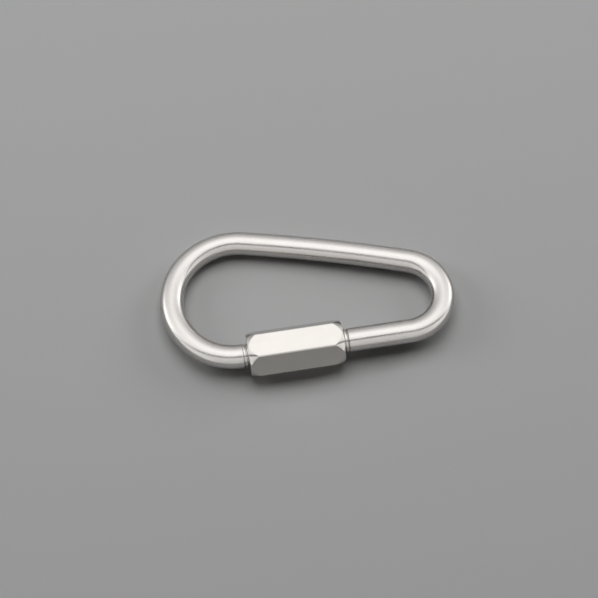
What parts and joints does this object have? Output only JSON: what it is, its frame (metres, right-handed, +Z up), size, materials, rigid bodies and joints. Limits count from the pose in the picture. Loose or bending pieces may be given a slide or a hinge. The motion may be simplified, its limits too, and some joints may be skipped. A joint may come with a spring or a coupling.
{
  "type": "chain quick link",
  "caption": "Pear-shaped loop of round steel bar whose open side is closed by a long hexagonal screw sleeve, for joining chain, cable ends or fittings.",
  "frame": {"origin": "on the supporting surface, under the middle of the link's bounding box", "axes": "+X along the sleeve from the wide end to the narrow end, +Y from the sleeve to the far side of the loop, +Z up from the surface that the link lies on"},
  "size_m": [0.0984, 0.0553, 0.014],
  "materials": {
    "satin_bar": "satin polished stainless steel bar",
    "bright_hex": "bright drawn stainless steel hex, turned at the ends"
  },
  "bodies": {
    "loop": {"link_body": "satin_bar"},
    "sleeve": {"sleeve_nut": "bright_hex"}
  },
  "joints": [
    {"name": "sleeve_travel", "type": "slide", "parent": "loop", "child": "sleeve", "axis": [1, 0, 0], "range_m": [0, 0.01375]}
  ]
}
